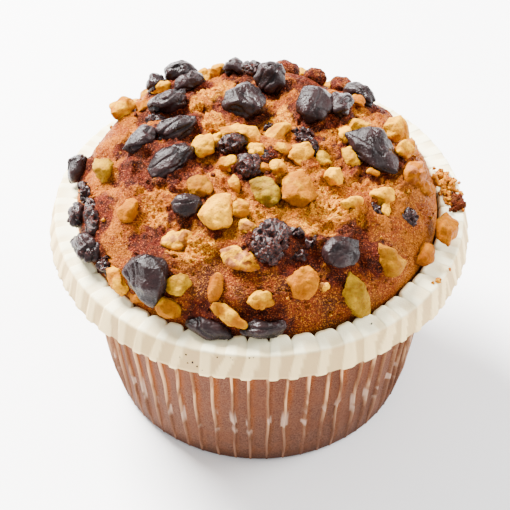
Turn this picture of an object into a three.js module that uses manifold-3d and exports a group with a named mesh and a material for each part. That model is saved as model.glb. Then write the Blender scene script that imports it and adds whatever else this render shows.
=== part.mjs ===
// A muffin in its pleated paper case, topped with dark dried berries and chopped nuts.
// Millimetres, +Z up. The origin is the centre of the flat bottom of the case.
// The cake is one solid that fills the case and rises over its collar as a low dome. Each large
// berry or nut sits in a socket of its own in the crust; the small bits are baked into the cake.
import * as THREE from "three";
import { ConvexGeometry } from "three/addons/geometries/ConvexGeometry.js";
import { ImprovedNoise } from "three/addons/math/ImprovedNoise.js";
import { mergeVertices } from "three/addons/utils/BufferGeometryUtils.js";
import Module from "manifold-3d";

const wasm = await Module();
wasm.setup();

// Driving dimensions of the paper case
const BOTTOM_RADIUS = 29.7;
const WALL_TOP_RADIUS = 35.0;
const WALL_TOP_HEIGHT = 38.6;
const COLLAR_HEIGHT = 42.1;
const COLLAR_RADIUS = 41.1;
const FLANGE_INNER_RADIUS = 36.2;
const FLANGE_OUTER_RADIUS = 39.7;
const SKIRT_DROP = 5.2;
const PLEATS = 60;
const PLEAT_DEPTH = 0.8;
const RIDGE_SHARE = 0.36;
const PAPER = 0.4;

// Driving dimensions of the cake
const DOME_RADIUS = 35.2;
const DOME_HEIGHT = 15.8;
const DOME_POWER = 2.4;
const DOME_BASE = 41.8;
const DOME_SHIFT_X = -0.5;

// Clearance between pieces that touch
const GAP = 0.3;

const DEGREE = Math.PI / 180;
const noise = new ImprovedNoise();

// Joining and cutting of closed meshes

function solidOf(geometry) {
  const bare = geometry.clone();
  bare.deleteAttribute("normal");
  bare.deleteAttribute("uv");
  const merged = mergeVertices(bare, 1e-4);
  const mesh = new wasm.Mesh({
    numProp: 3,
    vertProperties: merged.attributes.position.array,
    triVerts: new Uint32Array(merged.index.array),
  });
  return new wasm.Manifold(mesh);
}

function largestBody(solid) {
  const bodies = solid.decompose();
  return bodies.reduce((best, body) => (body.volume() > best.volume() ? body : best));
}

function geometryOf(solid) {
  const { vertProperties, triVerts } = solid.getMesh();
  const geometry = new THREE.BufferGeometry();
  geometry.setAttribute("position", new THREE.BufferAttribute(vertProperties, 3));
  geometry.setIndex(new THREE.BufferAttribute(triVerts, 1));
  geometry.computeVertexNormals();
  return geometry;
}

// Moves every vertex of a geometry: move(point, index) changes the point in place.
function reshaped(geometry, move) {
  const position = geometry.attributes.position;
  const point = new THREE.Vector3();
  for (let i = 0; i < position.count; i++) {
    point.fromBufferAttribute(position, i);
    move(point, i);
    position.setXYZ(i, point.x, point.y, point.z);
  }
  return geometry;
}

// Turns an outline about +Z. place(station, column) gives the point at each station of each column.
function turned(stations, columns, place) {
  const outline = stations.map(({ radius, height }) => new THREE.Vector2(radius, height));
  const geometry = new THREE.LatheGeometry(outline, columns).rotateX(Math.PI / 2);
  return reshaped(geometry, (point, index) => {
    const station = stations[index % stations.length];
    const column = Math.floor(index / stations.length) % columns;
    point.copy(place(station, column));
  });
}

function polar(radius, azimuth, height) {
  return new THREE.Vector3(radius * Math.cos(azimuth), radius * Math.sin(azimuth), height);
}

// Paper case: floor, pleated wall, flat flange and turned-down skirt, one folded sheet

// The flange and skirt wave slowly up and down round the cake.
function collarWave(azimuth) {
  return 0.3 * Math.sin(2 * azimuth + 0.6) + 0.2 * Math.sin(3 * azimuth - 1);
}

// The sheet's outline runs up the outside and back down the inside. At a ridge the sheet stands
// out and down by the amounts given, and wave is how much of the collar's wave it follows.
function caseStations() {
  const out = PLEAT_DEPTH;
  const footOut = PLEAT_DEPTH * 0.6;
  const notch = 0.5;
  const skirtOut = 0.3;
  const underside = COLLAR_HEIGHT - PAPER;
  const skirtEnd = COLLAR_HEIGHT - SKIRT_DROP;
  const foldDrop = 0.3;
  return [
    { radius: 0, height: 0 },
    { radius: BOTTOM_RADIUS, height: 0, out: footOut },
    { radius: WALL_TOP_RADIUS, height: WALL_TOP_HEIGHT, out },
    { radius: FLANGE_INNER_RADIUS + 0.3, height: underside, out, down: notch, wave: 1 },
    { radius: FLANGE_OUTER_RADIUS - PAPER, height: underside - foldDrop, down: 0.1, wave: 1 },
    { radius: COLLAR_RADIUS - PAPER, height: skirtEnd, out: skirtOut, wave: 1 },
    { radius: COLLAR_RADIUS, height: skirtEnd, out: skirtOut, wave: 1 },
    { radius: FLANGE_OUTER_RADIUS, height: COLLAR_HEIGHT - foldDrop, down: 0.1, wave: 1 },
    { radius: FLANGE_INNER_RADIUS, height: COLLAR_HEIGHT, out, down: notch, wave: 1 },
    { radius: WALL_TOP_RADIUS - PAPER, height: WALL_TOP_HEIGHT, out },
    { radius: BOTTOM_RADIUS - PAPER, height: PAPER, out: footOut },
    { radius: 0, height: PAPER },
  ];
}

// Each pleat has a sharp ridge and its two feet, with a broad flat band between the ridges.
function paperCase() {
  const columnsPerPleat = 3;
  const pitch = (2 * Math.PI) / PLEATS;
  const footOffsets = [0, RIDGE_SHARE / 2, 1 - RIDGE_SHARE / 2];
  return turned(caseStations(), PLEATS * columnsPerPleat, (station, column) => {
    const { radius, height, out = 0, down = 0, wave = 0 } = station;
    const phase = column % columnsPerPleat;
    const azimuth = (Math.floor(column / columnsPerPleat) + footOffsets[phase]) * pitch;
    const ridge = phase === 0 ? 1 : 0;
    return polar(radius + ridge * out, azimuth, height - ridge * down + wave * collarWave(azimuth));
  });
}

// The space of the collar, grown by the clearance, that the toppings keep out of
function collarSpace() {
  const low = WALL_TOP_HEIGHT - 0.3;
  const high = COLLAR_HEIGHT + GAP;
  const outer = COLLAR_RADIUS + 2;
  const stations = [
    { radius: FLANGE_INNER_RADIUS - GAP, height: high, wave: 1 },
    { radius: WALL_TOP_RADIUS - PAPER - GAP, height: low, wave: 0 },
    { radius: outer, height: low, wave: 0 },
    { radius: outer, height: high, wave: 1 },
    { radius: FLANGE_INNER_RADIUS - GAP, height: high, wave: 1 },
  ];
  const columns = 96;
  return turned(stations, columns, ({ radius, height, wave }, column) => {
    const azimuth = (column / columns) * 2 * Math.PI;
    return polar(radius, azimuth, height + wave * collarWave(azimuth));
  });
}

// Cake: a tapered body that fills the case, and over it a dome with a lumpy, cracked crust

// Height of the crust over the plain dome: broad lumps, and short crags between them
function crustRelief(x, y) {
  const lumps = 0.8 * Math.sin(x / 3.9 + 0.7) * Math.sin(y / 4.3 + 1.9);
  const crags = 0.6 * Math.sin(x / 2.6 - y / 2.1 + 0.5) * Math.sin(x / 2.9 + y / 3.3);
  const cracks = -1.0 * Math.max(0, Math.sin(x / 5.2 + y / 8.5 + 1.2 * Math.sin(y / 4)) - 0.7) / 0.3;
  return lumps + crags + cracks;
}

// A place on the crust. The slope angle is 0 at the top of the dome and 90 at the collar.
function onCrust(azimuthDegrees, slopeDegrees) {
  const azimuth = azimuthDegrees * DEGREE;
  const across = Math.sin(slopeDegrees * DEGREE) ** (2 / DOME_POWER);
  const rise = Math.max(Math.cos(slopeDegrees * DEGREE), 0) ** (2 / DOME_POWER);
  const point = polar(DOME_RADIUS * across, azimuth, DOME_BASE + DOME_HEIGHT * rise);
  const outward = across ** (DOME_POWER - 1) / DOME_RADIUS;
  const upward = rise ** (DOME_POWER - 1) / DOME_HEIGHT;
  const normal = polar(outward, azimuth, upward).normalize();
  const fade = 1 - THREE.MathUtils.smoothstep(slopeDegrees, 62, 86);
  point.addScaledVector(normal, fade * crustRelief(point.x, point.y));
  point.x += DOME_SHIFT_X;
  return { point, normal };
}

function bareCake() {
  const rings = 14;
  const columns = 60;
  const clearance = PAPER + GAP;
  const stations = [
    { radius: 0, height: clearance },
    { radius: BOTTOM_RADIUS - clearance - 0.1, height: clearance },
    { radius: WALL_TOP_RADIUS - clearance, height: WALL_TOP_HEIGHT },
  ];
  for (let ring = 0; ring <= rings; ring++) {
    const slope = 90 * (1 - ring / rings) ** 1.1;
    stations.push({ radius: DOME_RADIUS * Math.sin(slope * DEGREE), height: DOME_BASE, slope });
  }
  stations[stations.length - 1].radius = 0;
  return turned(stations, columns, ({ radius, height, slope }, column) => {
    const azimuth = (column / columns) * 360;
    return slope === undefined ? polar(radius, azimuth * DEGREE, height) : onCrust(azimuth, slope).point;
  });
}

// Toppings: shapes of unit size, their size and place, and where each one lies

// Corners spread evenly over a ball; scatter(corner) may move each one.
function ballCorners(count, scatter) {
  const turn = Math.PI * (3 - Math.sqrt(5));
  return Array.from({ length: count }, (_, i) => {
    const height = 1 - (2 * i + 1) / count;
    return scatter(polar(Math.sqrt(1 - height * height), i * turn, height));
  });
}

const BERRY_CORNERS = 23;
const NUT_CORNERS = 13;
const BIT_CORNERS = 9;

// A dried berry: a ball whose skin has sunk in folds
function berryShape(seed) {
  const ball = new ConvexGeometry(ballCorners(BERRY_CORNERS, (corner) => corner));
  return reshaped(ball, (point) => {
    const fold = noise.noise(point.x * 1.5 + seed * 3.1, point.y * 1.5, point.z * 1.5 + seed);
    point.multiplyScalar(1.04 + 0.34 * fold);
  });
}

// A chopped nut: flat broken faces between uneven corners
function nutShape(seed, corners) {
  return new ConvexGeometry(ballCorners(corners, (corner) => {
    const uneven = noise.noise(corner.x * 2.3 + seed * 1.7, corner.y * 2.3 - seed, corner.z * 2.3);
    return corner.multiplyScalar(1.04 + 0.45 * uneven);
  }));
}

// A unit shape at its size, grown by a margin all round and narrowed towards one end, then laid on
// the crust, partly sunk in, with its long side turned to a direction as seen from above.
function laid(shape, topping, margin) {
  const { azimuth, slope, length, width, height, turn, taper, sunk } = topping;
  const geometry = reshaped(shape.clone(), (point) => {
    const narrow = 1 - taper * point.x;
    point.x *= length / 2 + margin;
    point.y *= (narrow * width) / 2 + margin;
    point.z *= (narrow * height) / 2 + margin;
  });
  const { point, normal } = onCrust(azimuth, slope);
  const around = polar(1, (azimuth + 90) * DEGREE, 0);
  const uphill = normal.clone().cross(around);
  const angle = (turn - azimuth - 90) * DEGREE;
  const long = around.clone().multiplyScalar(Math.cos(angle)).addScaledVector(uphill, Math.sin(angle));
  const side = normal.clone().cross(long);
  const centre = point.clone().addScaledVector(normal, height * (0.5 - sunk));
  return geometry.applyMatrix4(new THREE.Matrix4().makeBasis(long, side, normal).setPosition(centre));
}

// One row of the lists below: azimuth and slope angle on the dome, length, width and height, the
// direction of the long side, how much its far end narrows, and the share that is sunk in.
function topping([azimuth, slope, length, width, height, turn, taper = 0, sunk = 0.3]) {
  return { azimuth, slope, length, width, height, turn, taper, sunk };
}

// Berries, from the left shoulder over the top to the front rim
const BERRIES = [
  [120, 56, 6.6, 5.2, 5.6, 0, 0, 0.15],
  [120, 46, 7.6, 4.4, 4.2, 25],
  [139, 36, 8.4, 5.4, 4.8, 27],
  [172, 34, 7.8, 4.9, 4.6, 46],
  [161, 24, 9.2, 5.4, 4.8, 19],
  [-169, 24, 9.8, 6.2, 5.0, 39],
  [99, 55, 4.8, 4.4, 3.6, 40, 0, 0.1],
  [82, 33, 6.4, 6.0, 7.0, 108, 0, 0.2],
  [99, 18, 9.8, 8.4, 6.6, 60, 0.35],
  [46, 23, 9.4, 8.0, 5.8, 80, 0, 0.25],
  [36, 30, 6.6, 5.2, 4.4, 86],
  [45, 51, 8.2, 4.8, 4.8, -45],
  [-1, 36, 13.4, 7.2, 5.2, -58, 0.5],
  [-172, 5, 6.2, 4.3, 3.8, 15],
  [-103, 8, 5.8, 5.6, 4.2, 111],
  [-130, 31, 6.4, 4.3, 3.8, 7],
  [169, 80, 5.6, 4.4, 4.4, 40, 0, 0.2],
  [-166, 75, 5.6, 4.0, 3.8, 74],
  [-154, 80, 8.4, 5.0, 5.0, -50],
  [-125, 68, 10.2, 8.6, 6.0, -87, 0.2],
  [-84, 39, 9.0, 7.8, 4.0, 73],
  [-58, 51, 7.2, 6.4, 5.0, 21],
  [-104, 86, 9.0, 3.6, 3.4, -26],
  [-88, 84, 8.8, 4.0, 3.6, 5],
  [92, 43, 4.8, 3.8, 3.2, -33, 0, 0.2],
  [130, 57, 4.6, 4.4, 4.2, -77, 0, 0.2],
  [-160, 67, 8.4, 4.0, 2.8, 85, 0, 0.5],
];

// Nuts, over the top, then both shoulders and the front; the last one lies against the collar.
const NUTS = [
  [178, 13, 6.8, 4.4, 3.6, 88, 0.1],
  [142, 4, 9.8, 5.2, 4.2, -18],
  [-17, 11, 6.2, 5.2, 4.4, 30],
  [-5, 27, 6.2, 4.4, 3.6, 113],
  [-57, 20, 9.4, 7.0, 5.2, 109],
  [-82, 17, 8.0, 5.6, 4.4, 116],
  [-133, 22, 7.0, 5.4, 4.2, 123],
  [-111, 29, 9.2, 6.2, 4.6, 75, 0.3],
  [19, 50, 6.2, 5.6, 4.8, 90, 0, 0.1],
  [4, 49, 7.6, 4.0, 4.0, 45, 0, 0.1],
  [-8, 53, 6.0, 5.4, 4.4, -60, 0, 0.15],
  [146, 58.5, 7.8, 4.8, 4.6, 60, 0, 0.1],
  [-151, 48, 6.2, 4.2, 3.8, 50, 0.25],
  [-96, 46, 9.0, 5.4, 2.6, -29],
  [-74, 60, 8.0, 5.6, 4.0, 65, 0.2],
  [-137, 80, 6.8, 4.0, 3.6, -70],
  [-58, 77, 11.0, 5.4, 3.6, -47, 0.1],
  [-43, 68, 8.2, 4.6, 3.6, -30, -0.25],
  [-89, 67, 5.2, 3.8, 3.2, 8],
  [-17, 81, 7.4, 5.2, 4.6, 85, 0.1, -0.2],
];

// Bits too small to be pieces of their own
const SMALL_BITS = [
  [141, 52, 3.6, 2.8, 2.6, 60],
  [130, 53, 4.4, 3.0, 2.8, -20],
  [104, 62, 3.4, 3.0, 3.2, 0],
  [109, 66, 3.0, 2.8, 3.2, 0],
  [134, 24, 3.4, 2.8, 2.6, 74],
  [-136, 9, 4.2, 3.2, 3.0, 74],
  [-112, 15, 4.2, 2.4, 2.6, 101],
  [-88, 2, 4.0, 2.8, 2.6, -25],
  [-20, 6, 3.4, 2.8, 2.6, 3],
  [39, 6, 5.8, 3.2, 3.0, 39],
  [-61, 10, 3.8, 2.8, 2.6, -64],
  [-9, 17, 5.0, 2.8, 2.8, -62],
  [-29, 24, 4.8, 3.8, 3.4, 71],
  [21, 32, 5.0, 2.8, 2.8, 6],
  [16, 26, 3.8, 2.6, 2.6, 98],
  [-23, 44, 5.2, 3.4, 3.2, 9],
  [-40, 36, 4.4, 2.6, 2.4, 18],
  [-100, 25, 3.6, 3.4, 3.2, 0],
  [-116, 65, 4.4, 4.2, 3.2, 15],
  [-104, 62, 5.2, 3.0, 2.8, 78],
  [-117, 81, 5.6, 3.6, 3.4, -53],
  [-98, 76, 7.0, 3.0, 2.8, -38],
  [-125, 44, 5.6, 3.8, 2.6, 12],
  [-94, 32, 4.0, 3.0, 2.2, -27],
  [166, 9, 3.4, 2.8, 2.6, 60],
  [24, 12, 4.0, 3.4, 2.8, 9],
  [4, 13, 4.0, 2.6, 2.4, -41],
  [-176, 71, 5.4, 3.2, 3.4, -76],
  [150, 38, 3.6, 3.2, 3.0, 14],
  [-22, 61, 3.6, 2.8, 2.4, -19],
  [-7, 63, 5.0, 2.8, 2.6, 15, 0, 0.1],
  [-144, 80, 4.8, 3.0, 3.0, -42],
  [-178, 53, 6.4, 3.8, 3.6, 85],
  [-27, 84, 4.8, 4.0, 3.4, 65],
  [141, 14, 5.2, 4.0, 2.6, 83],
  [40, 43, 3.4, 2.6, 2.6, -60],
  [79, 57, 5.4, 4.2, 3.6, 10],
  [67, 56, 5.0, 4.4, 3.4, 60],
  [57, 60, 4.6, 4.0, 3.4, -40],
];

// The far side below the brow of the dome has the same mix, spread by rule.
const FAR_SIDE_FROM = 58;
const FAR_SIDE_STEP = 22;
for (let i = 0; i < 4; i++) {
  const azimuth = FAR_SIDE_FROM + i * FAR_SIDE_STEP;
  BERRIES.push([azimuth, 82 + 2 * (i % 2), 6.4 + (i % 3), 5.0, 4.6, azimuth + 50 * i, 0, 0.4]);
  NUTS.push([azimuth + 11, 81 + 2 * (i % 3), 6.2 + (i % 2), 4.8, 4.2, azimuth + 70 * i, 0.2, 0.4]);
  SMALL_BITS.push([azimuth + 5, 74, 4.2, 3.2, 3.0, azimuth + 90]);
  SMALL_BITS.push([azimuth + 16, 74 - 4 * (i % 2), 4.2, 3.2, 3.0, azimuth + 30 * i]);
}

// Each piece as a solid, and as the larger socket that its neighbours and the cake leave for it
function madePiece(name, shape, values) {
  const make = (margin) => solidOf(laid(shape, values, margin));
  return { name, solid: make(0), socket: make(GAP) };
}

function numbered(word, index) {
  return `${word}_${String(index + 1).padStart(2, "0")}`;
}

const berryPieces = BERRIES.map(topping).map((values, i) =>
  madePiece(numbered("berry", i), berryShape(i), values));
const nutPieces = NUTS.map(topping).map((values, i) =>
  madePiece(numbered("nut", i), nutShape(i, NUT_CORNERS), values));

// Later pieces give way to earlier ones, and every piece to the collar.
const pieces = [...berryPieces, ...nutPieces];
const collar = solidOf(collarSpace());
for (const [i, piece] of pieces.entries()) {
  for (const earlier of pieces.slice(0, i)) {
    piece.solid = piece.solid.subtract(earlier.socket);
  }
  piece.solid = largestBody(piece.solid.subtract(collar));
}

function cake() {
  let solid = solidOf(bareCake());
  for (const [i, values] of SMALL_BITS.map(topping).entries()) {
    const bit = solidOf(laid(nutShape(NUTS.length + i, BIT_CORNERS), values, 0));
    solid = solid.add(bit.subtract(collar));
  }
  for (const piece of pieces) {
    solid = solid.subtract(piece.socket);
  }
  return geometryOf(largestBody(solid));
}

// The named parts

const crustMaterial = new THREE.MeshStandardMaterial({ color: 0xb8712f, roughness: 0.75, metalness: 0 });
const paperMaterial = new THREE.MeshStandardMaterial({ color: 0xeee6cf, roughness: 0.6, metalness: 0 });
const berryMaterial = new THREE.MeshStandardMaterial({ color: 0x262226, roughness: 0.35, metalness: 0 });
const nutMaterial = new THREE.MeshStandardMaterial({ color: 0xdca44c, roughness: 0.5, metalness: 0 });

function part(name, geometry, material) {
  const mesh = new THREE.Mesh(geometry, material.clone());
  mesh.name = name;
  return mesh;
}

const muffin = new THREE.Group();
muffin.add(part("cake", cake(), crustMaterial));
muffin.add(part("paper_case", paperCase(), paperMaterial));
for (const piece of berryPieces) {
  muffin.add(part(piece.name, geometryOf(piece.solid), berryMaterial));
}
for (const piece of nutPieces) {
  muffin.add(part(piece.name, geometryOf(piece.solid), nutMaterial));
}

// The group's box is centred over the origin.
const middle = new THREE.Box3().setFromObject(muffin).getCenter(new THREE.Vector3());
muffin.position.set(-middle.x, -middle.y, 0);

export default muffin;
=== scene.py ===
import math
import random

import bmesh
import bpy
from mathutils import Matrix, Vector, kdtree, noise


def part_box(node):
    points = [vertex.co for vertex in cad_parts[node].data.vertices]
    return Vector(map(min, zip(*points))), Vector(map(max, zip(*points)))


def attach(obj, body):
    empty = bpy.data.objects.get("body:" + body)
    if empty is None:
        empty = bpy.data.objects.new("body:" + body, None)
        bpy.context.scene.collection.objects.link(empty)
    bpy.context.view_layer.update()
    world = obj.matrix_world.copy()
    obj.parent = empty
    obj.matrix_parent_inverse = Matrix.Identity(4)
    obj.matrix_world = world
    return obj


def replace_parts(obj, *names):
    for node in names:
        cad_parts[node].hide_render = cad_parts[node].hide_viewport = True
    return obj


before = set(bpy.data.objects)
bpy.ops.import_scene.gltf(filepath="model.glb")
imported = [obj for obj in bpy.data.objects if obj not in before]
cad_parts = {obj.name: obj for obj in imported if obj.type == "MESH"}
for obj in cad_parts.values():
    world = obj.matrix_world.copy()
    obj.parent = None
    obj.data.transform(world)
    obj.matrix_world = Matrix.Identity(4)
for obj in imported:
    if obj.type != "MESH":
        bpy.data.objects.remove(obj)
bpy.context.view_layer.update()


# The paper case
# One round of greaseproof paper, pressed in a die into fine pleats, with its rim folded out flat
# and turned down. The cake's fat has soaked the wall brown and left ridges and collar pale. The
# ridges also carry a painted highlight, and the foot and the skirt carry painted shade.

MM = 0.001
PLEATS = 60
COLUMNS_PER_PLEAT = 14
CROWDING = 0.11
PLEAT_DEPTH = 0.75
PAPER = 0.2
FLOOR_RADIUS = 28.4
FOOT_RADIUS = 1.3
BOTTOM_RADIUS = 29.6
WALL_TOP_RADIUS = 34.9
WALL_TOP_HEIGHT = 38.6
LIP_RADIUS = 35.7
FLANGE_OUTER_RADIUS = 39.6
COLLAR_HEIGHT = 42.0
COLLAR_RADIUS = 41.0
SKIRT_DROP = 5.2
FOOT_PLEAT = 0.2
RIDGE_WANDER = 0.45
RIDGE_LEAN = 0.35
SCALLOP_POWER = 5
NOTCH_OUT = 0.9
NOTCH_DROP = 0.6
LAP_OUT = 0.2
LAP_DROP = 0.28
CREASE_DEPTH = 0.1


def between(low, high, share):
    return low + (high - low) * share


def smooth_step(low, high, value):
    share = min(max((value - low) / (high - low), 0.0), 1.0)
    return share * share * (3 - 2 * share)


def case_stations():
    """The sheet's outline, as dictionaries, from the middle of the floor to the skirt's free edge."""
    half = PAPER / 2
    stations = []
    for i in range(6):
        pleat = FOOT_PLEAT * smooth_step(3, 5, i)
        stations.append({"radius": FLOOR_RADIUS * i / 5, "height": half, "pleat": pleat})
    for i in range(1, 5):
        turn = math.radians(90 * i / 4)
        stations.append({
            "radius": FLOOR_RADIUS + FOOT_RADIUS * math.sin(turn),
            "height": half + FOOT_RADIUS * (1 - math.cos(turn)),
            "pleat": FOOT_PLEAT,
        })
    for i in range(1, 21):
        height = between(1.4, WALL_TOP_HEIGHT, i / 20)
        radius = between(BOTTOM_RADIUS, WALL_TOP_RADIUS, height / WALL_TOP_HEIGHT)
        pleat = between(FOOT_PLEAT, 1.0, smooth_step(1, 8, height))
        stations.append({"radius": radius, "height": height, "pleat": pleat})
    for i in range(1, 6):
        share = i / 5
        stations.append({
            "radius": between(WALL_TOP_RADIUS, LIP_RADIUS, share ** 1.6),
            "height": between(WALL_TOP_HEIGHT, COLLAR_HEIGHT, math.sin(share * math.pi / 2)),
            "pleat": 1 - 0.75 * share,
            "lip": share,
            "wave": share,
        })
    for i in range(1, 10):
        share = (i / 9) ** 1.5
        stations.append({
            "radius": between(LIP_RADIUS, FLANGE_OUTER_RADIUS, share),
            "height": COLLAR_HEIGHT - 0.25 * share,
            "pleat": 0.12 * (1 - smooth_step(0, 0.4, share)),
            "lip": (1 - share) ** 7,
            "wave": 1,
            "fold": smooth_step(0.1, 0.9, share),
        })
    for radius, drop in ((0.14, 0.3), (0.3, 0.46), (0.4, 0.7)):
        stations.append({
            "radius": FLANGE_OUTER_RADIUS + radius,
            "height": COLLAR_HEIGHT - drop,
            "wave": 1,
            "fold": 1,
            "skirt": 0.01,
        })
    for i in range(1, 9):
        share = i / 8
        stations.append({
            "radius": between(FLANGE_OUTER_RADIUS + 0.4, COLLAR_RADIUS, share),
            "height": COLLAR_HEIGHT - between(0.7, SKIRT_DROP, share),
            "wave": 1,
            "fold": 1,
            "skirt": share,
        })
    return stations


def collar_wave(azimuth):
    return 0.3 * math.sin(2 * azimuth + 0.6) + 0.2 * math.sin(3 * azimuth - 1)


def pleat_starts(seed):
    """Where each pleat's ridge stands round the case, as shares of a turn, a little uneven."""
    draw = random.Random(seed)
    widths = [1 + 0.2 * draw.uniform(-1, 1) for _ in range(PLEATS)]
    total = sum(widths)
    return [sum(widths[:i]) / total for i in range(PLEATS)] + [1.0]


def paper_case():
    stations = case_stations()
    columns = PLEATS * COLUMNS_PER_PLEAT
    sheet = bmesh.new()
    which = sheet.verts.layers.int.new("station")
    tone = sheet.verts.layers.float_color.new("case_tone")
    outline = []
    for index, station in enumerate(stations):
        corner = sheet.verts.new((station["radius"], 0, station["height"]))
        corner[which] = index
        outline.append(corner)
    edges = [sheet.edges.new(pair) for pair in zip(outline, outline[1:])]
    bmesh.ops.spin(sheet, geom=outline + edges, cent=(0, 0, 0), axis=(0, 0, 1), angle=math.tau,
                   steps=columns, use_merge=True, use_duplicate=False)
    bmesh.ops.remove_doubles(sheet, verts=sheet.verts, dist=1e-4)

    starts = pleat_starts(7)
    draw = random.Random(11)
    ridge_lean = [draw.uniform(-0.5, 0.7) for _ in range(PLEATS)]
    ridge_width = [draw.uniform(0.07, 0.11) for _ in range(PLEATS)]
    ridge_spread = [draw.choice((0.02, 0.04, 0.1)) for _ in range(PLEATS)]
    lip_rise = [draw.uniform(0.0, 0.45) for _ in range(PLEATS)]
    lip_lean = [draw.uniform(-0.15, 0.25) for _ in range(PLEATS)]
    lip_tilt = [draw.uniform(-0.4, 0.7) for _ in range(PLEATS)]
    lip_skew = [draw.uniform(-0.45, 0.45) for _ in range(PLEATS)]
    lap_share = [draw.uniform(0.34, 0.62) for _ in range(PLEATS)]
    lap_slant = [draw.uniform(-0.15, 0.5) for _ in range(PLEATS)]
    for corner in sheet.verts:
        station = stations[corner[which]]
        column = round(math.atan2(corner.co.y, corner.co.x) / math.tau * columns) % columns
        pleat, step = divmod(column, COLUMNS_PER_PLEAT)
        even = step / COLUMNS_PER_PLEAT
        across = even - CROWDING * math.sin(math.tau * even)
        azimuth = math.tau * between(starts[pleat], starts[pleat + 1], across)
        nearest = pleat if across < 0.5 else (pleat + 1) % PLEATS
        from_ridge = min(across, 1 - across)
        height = station["height"]
        pleated = station.get("pleat", 0)

        # A ridge is a sharp crease that spreads just under the collar and wanders on its way down.
        width = ridge_width[nearest] + ridge_spread[nearest] * smooth_step(0.8, 1.0, height / WALL_TOP_HEIGHT)
        ridge = max(0.0, 1 - from_ridge / width) ** 1.2
        wander = RIDGE_WANDER * noise.noise(Vector((nearest * 3.7, height / 8, 0)))
        azimuth += (wander + RIDGE_LEAN * ridge_lean[nearest] * ridge) * pleated / max(station["radius"], 8)
        outward = pleated * PLEAT_DEPTH * (ridge - 0.1)

        # Between two ridges the paper curls over into the collar as one scallop with a tilted lip.
        middle = min(max(across + lip_skew[pleat] * across * (1 - across), 0), 1)
        scallop = 1 - abs(2 * middle - 1) ** SCALLOP_POWER
        lip = station.get("lip", 0)
        outward += lip * (NOTCH_OUT * (1 - scallop) - lip_lean[pleat] * scallop)
        tilt = lip_tilt[pleat] * (across - 0.5) * scallop
        rise = lip * (lip_rise[pleat] * scallop - NOTCH_DROP * (1 - scallop) + tilt)

        # The collar's pleats are pressed flat, each lapped over the next, and slant on the skirt.
        skirt = station.get("skirt", 0)
        slanted = (across + lap_slant[nearest] * skirt) % 1.0
        end = lap_share[pleat]
        lapped = smooth_step(0, 0.05, slanted) * (1 - smooth_step(end, end + 0.05, slanted))
        fold = station.get("fold", 0)
        outward += skirt ** 0.5 * LAP_OUT * lapped
        sag = 0.5 * noise.noise(Vector((math.cos(azimuth) * 2.5, math.sin(azimuth) * 2.5, 4)))
        rise += skirt * (sag - LAP_DROP * lapped) + 0.14 * fold * (1 - skirt) * lapped

        rise += station.get("wave", 0) * collar_wave(azimuth)
        crease = CREASE_DEPTH * noise.noise(Vector((azimuth * 50, height / 5, 2))) if height > 1 else 0
        radius = station["radius"] + outward + crease
        corner.co = Vector((radius * math.cos(azimuth), radius * math.sin(azimuth), height + rise)) * MM
        grease = 0.0 if fold or skirt else 1 - smooth_step(COLLAR_HEIGHT - 1.4, COLLAR_HEIGHT - 0.2, height)
        # On the collar the first tone marks the skirt past the fold, which is painted darker as shade.
        skirt_shade = smooth_step(COLLAR_HEIGHT - 0.3, COLLAR_HEIGHT - 0.6, height)
        corner[tone] = (skirt_shade if fold else 2 * from_ridge, across, grease, between(1.0, lapped, fold))
    bmesh.ops.recalc_face_normals(sheet, faces=sheet.faces)
    return sheet


def add_node(tree, kind, sockets=None, **settings):
    """A shader node with its settings, and its sockets given as values or linked from other sockets."""
    node = tree.nodes.new(kind)
    for key, value in settings.items():
        setattr(node, key, value)
    for socket, value in (sockets or {}).items():
        if isinstance(value, bpy.types.NodeSocket):
            tree.links.new(value, node.inputs[socket])
        else:
            node.inputs[socket].default_value = value
    return node


def mixed(tree, share, first, second):
    """The colour between two colours, each a linked socket or an RGBA value."""
    return add_node(tree, "ShaderNodeMix", {0: share, 6: first, 7: second}, data_type="RGBA").outputs[2]


def maths(tree, operation, first, second):
    return add_node(tree, "ShaderNodeMath", {0: first, 1: second}, operation=operation).outputs[0]


def ranged(tree, value, low, high, to_low=0.0, to_high=1.0):
    """Eases a value from one range into another; a range given backwards turns it round."""
    sockets = {"Value": value, "From Min": low, "From Max": high, "To Min": to_low, "To Max": to_high}
    return add_node(tree, "ShaderNodeMapRange", sockets, interpolation_type="SMOOTHSTEP").outputs[0]


def rgb(red, green, blue):
    """A colour as it is seen on a screen, 0 to 255, as the linear value that a shader takes."""
    def linear(part):
        part /= 255
        return part / 12.92 if part <= 0.04045 else ((part + 0.055) / 1.055) ** 2.4
    return (linear(red), linear(green), linear(blue), 1.0)


def grain_group():
    """Fine speckle in three dimensions: a soft cloud and a sharper grain, both from 0 to 1."""
    group = bpy.data.node_groups.new("fine_grain", "ShaderNodeTree")
    group.interface.new_socket("Cloud Scale", in_out="INPUT", socket_type="NodeSocketFloat")
    group.interface.new_socket("Grain Scale", in_out="INPUT", socket_type="NodeSocketFloat")
    group.interface.new_socket("Cloud", in_out="OUTPUT", socket_type="NodeSocketFloat")
    group.interface.new_socket("Grain", in_out="OUTPUT", socket_type="NodeSocketFloat")
    start = group.nodes.new("NodeGroupInput")
    end = group.nodes.new("NodeGroupOutput")
    place = add_node(group, "ShaderNodeTexCoord").outputs["Object"]
    cloud = add_node(group, "ShaderNodeTexNoise", {"Vector": place, "Scale": start.outputs[0], "Detail": 3.0})
    grain = add_node(group, "ShaderNodeTexNoise",
                     {"Vector": place, "Scale": start.outputs[1], "Detail": 2.0, "Roughness": 0.65})
    group.links.new(ranged(group, cloud.outputs["Fac"], 0.3, 0.7), end.inputs[0])
    group.links.new(ranged(group, grain.outputs["Fac"], 0.28, 0.72), end.inputs[1])
    return group


GRAIN = grain_group()


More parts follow.
